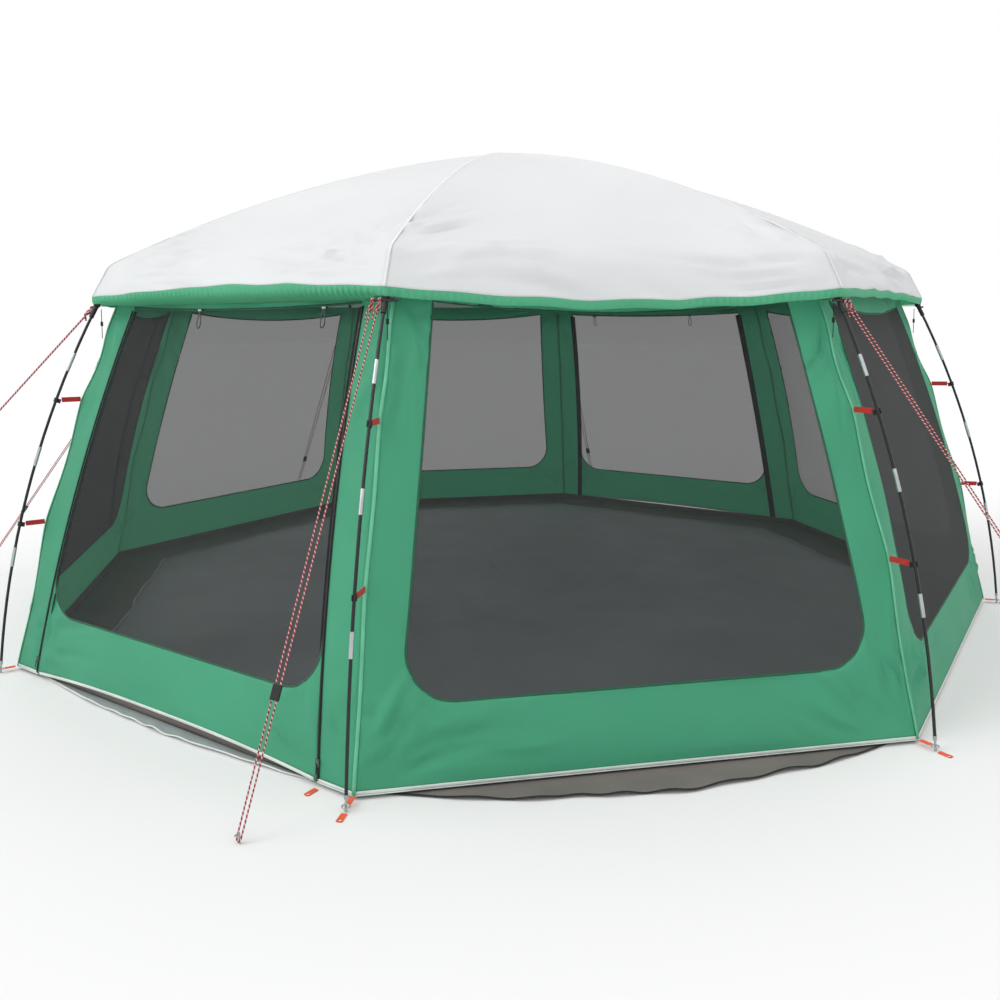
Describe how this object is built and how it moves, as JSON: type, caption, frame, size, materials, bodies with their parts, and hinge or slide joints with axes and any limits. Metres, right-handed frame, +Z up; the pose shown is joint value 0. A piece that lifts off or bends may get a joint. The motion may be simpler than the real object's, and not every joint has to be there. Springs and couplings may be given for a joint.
{
  "type": "screen house",
  "caption": "Eight-sided camping screen house with a domed cover, mesh walls, zipped doors, curved outside poles and guy ropes.",
  "frame": {"origin": "on the ground at the centre of the eight-sided floor", "axes": "+Z up; the front door faces -Y and the rear door faces +Y; +X is to the right of the front door as seen from outside"},
  "size_m": [5.6434, 5.7795, 2.298],
  "materials": {
    "hub_plastic": "moulded, satin",
    "pole_black": "lacquered glass fibre",
    "ferrule_steel": "bright",
    "elastic_cord": "braided sleeve",
    "pin_steel": "zinc plated",
    "strap_black": "woven webbing",
    "clip_plastic": "moulded",
    "red_webbing": "woven webbing",
    "green_fabric": "plain weave polyester, thin coating",
    "insect_mesh": "fine net",
    "hem_piping": "woven tape",
    "white_cover": "coated polyester, satin",
    "grey_groundsheet": "coated polyester",
    "grey_flap": "coated polyester",
    "zip_black": "coil and tape",
    "zip_metal": "black enamel",
    "tie_white": "moulded toggle with elastic",
    "guy_rope": "braided, red and white flecks",
    "runner_plastic": "moulded"
  },
  "bodies": {
    "house": {"clip_hooks": "clip_plastic", "clip_straps": "red_webbing", "corner_straps": "red_webbing", "corner_ties": "elastic_cord", "crown_hub": "hub_plastic", "eave_hubs": "hub_plastic", "eave_straps": "strap_black", "foot_pins": "pin_steel", "front_door_wall": "green_fabric", "ground_pegs": "pin_steel", "groundsheet": "grey_groundsheet", "guy_line_front_left": "guy_rope", "guy_line_front_right": "guy_rope", "guy_line_left_front": "guy_rope", "guy_line_left_rear": "guy_rope", "guy_line_rear_left": "guy_rope", "guy_line_rear_right": "guy_rope", "guy_line_right": "guy_rope", "hem_piping": "hem_piping", "left_front_wall": "green_fabric", "left_rear_wall": "green_fabric", "left_wall": "green_fabric", "leg_poles": "pole_black", "mud_flap": "grey_flap", "pin_rings": "pin_steel", "pole_ferrules": "ferrule_steel", "rear_door_wall": "green_fabric", "right_front_wall": "green_fabric", "right_rear_wall": "green_fabric", "right_wall": "green_fabric", "roof_cover": "white_cover", "roof_poles": "pole_black", "shock_cords": "elastic_cord", "window_meshes": "insect_mesh", "zip_tracks": "zip_black"},
    "front_door": {"front_door_hem": "green_fabric", "front_door_mesh": "insect_mesh", "front_door_piping": "hem_piping"},
    "front_tie_left": {"front_tie_left": "tie_white"},
    "front_zip_slider_left": {"front_zip_slider_left": "zip_metal"},
    "front_zip_pull_left": {"front_zip_pull_left": "zip_black"},
    "front_tie_right": {"front_tie_right": "tie_white"},
    "front_zip_slider_right": {"front_zip_slider_right": "zip_metal"},
    "front_zip_pull_right": {"front_zip_pull_right": "zip_black"},
    "rear_door": {"rear_door_hem": "green_fabric", "rear_door_mesh": "insect_mesh", "rear_door_piping": "hem_piping"},
    "rear_tie_left": {"rear_tie_left": "tie_white"},
    "rear_zip_slider_left": {"rear_zip_slider_left": "zip_metal"},
    "rear_zip_pull_left": {"rear_zip_pull_left": "zip_black"},
    "rear_tie_right": {"rear_tie_right": "tie_white"},
    "rear_zip_slider_right": {"rear_zip_slider_right": "zip_metal"},
    "rear_zip_pull_right": {"rear_zip_pull_right": "zip_black"},
    "guy_runner_front_left": {"guy_runner_front_left": "runner_plastic"},
    "guy_runner_front_right": {"guy_runner_front_right": "runner_plastic"},
    "guy_runner_right": {"guy_runner_right": "runner_plastic"},
    "guy_runner_rear_right": {"guy_runner_rear_right": "runner_plastic"},
    "guy_runner_rear_left": {"guy_runner_rear_left": "runner_plastic"},
    "guy_runner_left_rear": {"guy_runner_left_rear": "runner_plastic"},
    "guy_runner_left_front": {"guy_runner_left_front": "runner_plastic"}
  },
  "joints": [
    {"name": "front_door_lift", "type": "hinge", "parent": "house", "child": "front_door", "pos_m": [0, -1.83816, 1.488], "axis": [-1, 0, 0], "range_deg": [0, 70]},
    {"name": "front_tie_left_swing", "type": "hinge", "parent": "front_door", "child": "front_tie_left", "pos_m": [-0.195, -1.85139, 1.476], "axis": [-1, 0, 0], "range_deg": [0, 75]},
    {"name": "front_tie_right_swing", "type": "hinge", "parent": "front_door", "child": "front_tie_right", "pos_m": [0.465, -1.85139, 1.476], "axis": [-1, 0, 0], "range_deg": [0, 75]},
    {"name": "front_zip_left_run", "type": "hinge", "parent": "house", "child": "front_zip_slider_left", "pos_m": [-0.98199, 5.02183, -1.46853], "axis": [-0.9931, 0, 0.1169], "range_deg": [0, 11.17]},
    {"name": "front_zip_pull_left_swing", "type": "hinge", "parent": "front_zip_slider_left", "child": "front_zip_pull_left", "pos_m": [-0.79925, -2.30277, 0.08429], "axis": [-0.9931, 0, 0.1169], "range_deg": [0, 75]},
    {"name": "front_zip_right_run", "type": "hinge", "parent": "house", "child": "front_zip_slider_right", "pos_m": [0.98199, 5.02183, -1.46853], "axis": [-0.9931, 0, -0.1169], "range_deg": [0, 11.17]},
    {"name": "front_zip_pull_right_swing", "type": "hinge", "parent": "front_zip_slider_right", "child": "front_zip_pull_right", "pos_m": [0.79925, -2.30277, 0.08429], "axis": [-0.9931, 0, -0.1169], "range_deg": [0, 75]},
    {"name": "rear_door_lift", "type": "hinge", "parent": "house", "child": "rear_door", "pos_m": [0, 1.83816, 1.488], "axis": [1, 0, 0], "range_deg": [0, 70]},
    {"name": "rear_tie_left_swing", "type": "hinge", "parent": "rear_door", "child": "rear_tie_left", "pos_m": [0.285, 1.85139, 1.476], "axis": [1, 0, 0], "range_deg": [0, 75]},
    {"name": "rear_tie_right_swing", "type": "hinge", "parent": "rear_door", "child": "rear_tie_right", "pos_m": [-0.455, 1.85139, 1.476], "axis": [1, 0, 0], "range_deg": [0, 75]},
    {"name": "rear_zip_left_run", "type": "hinge", "parent": "house", "child": "rear_zip_slider_left", "pos_m": [0.98199, -5.02183, -1.46853], "axis": [0.9931, 0, 0.1169], "range_deg": [0, 11.17]},
    {"name": "rear_zip_pull_left_swing", "type": "hinge", "parent": "rear_zip_slider_left", "child": "rear_zip_pull_left", "pos_m": [0.79925, 2.30277, 0.08429], "axis": [0.9931, 0, 0.1169], "range_deg": [0, 75]},
    {"name": "rear_zip_right_run", "type": "hinge", "parent": "house", "child": "rear_zip_slider_right", "pos_m": [-0.98199, -5.02183, -1.46853], "axis": [0.9931, 0, -0.1169], "range_deg": [0, 11.17]},
    {"name": "rear_zip_pull_right_swing", "type": "hinge", "parent": "rear_zip_slider_right", "child": "rear_zip_pull_right", "pos_m": [-0.79925, 2.30277, 0.08429], "axis": [0.9931, 0, -0.1169], "range_deg": [0, 75]},
    {"name": "guy_runner_front_left_slide", "type": "slide", "parent": "house", "child": "guy_runner_front_left", "axis": [-0.3559, -0.5808, -0.7321], "range_m": [-0.25, 0.25]},
    {"name": "guy_runner_front_right_slide", "type": "slide", "parent": "house", "child": "guy_runner_front_right", "axis": [0.0476, -0.4404, -0.8966], "range_m": [-0.25, 0.25]},
    {"name": "guy_runner_right_slide", "type": "slide", "parent": "house", "child": "guy_runner_right", "axis": [0.5555, 0.1152, -0.8235], "range_m": [-0.25, 0.25]},
    {"name": "guy_runner_rear_right_slide", "type": "slide", "parent": "house", "child": "guy_runner_rear_right", "axis": [0.0647, 0.4507, -0.8903], "range_m": [-0.25, 0.25]},
    {"name": "guy_runner_rear_left_slide", "type": "slide", "parent": "house", "child": "guy_runner_rear_left", "axis": [-0.0478, 0.4428, -0.8954], "range_m": [-0.25, 0.25]},
    {"name": "guy_runner_left_rear_slide", "type": "slide", "parent": "house", "child": "guy_runner_left_rear", "axis": [-0.459, 0.0739, -0.8854], "range_m": [-0.25, 0.25]},
    {"name": "guy_runner_left_front_slide", "type": "slide", "parent": "house", "child": "guy_runner_left_front", "axis": [-0.3639, -0.4596, -0.8102], "range_m": [-0.25, 0.25]}
  ]
}
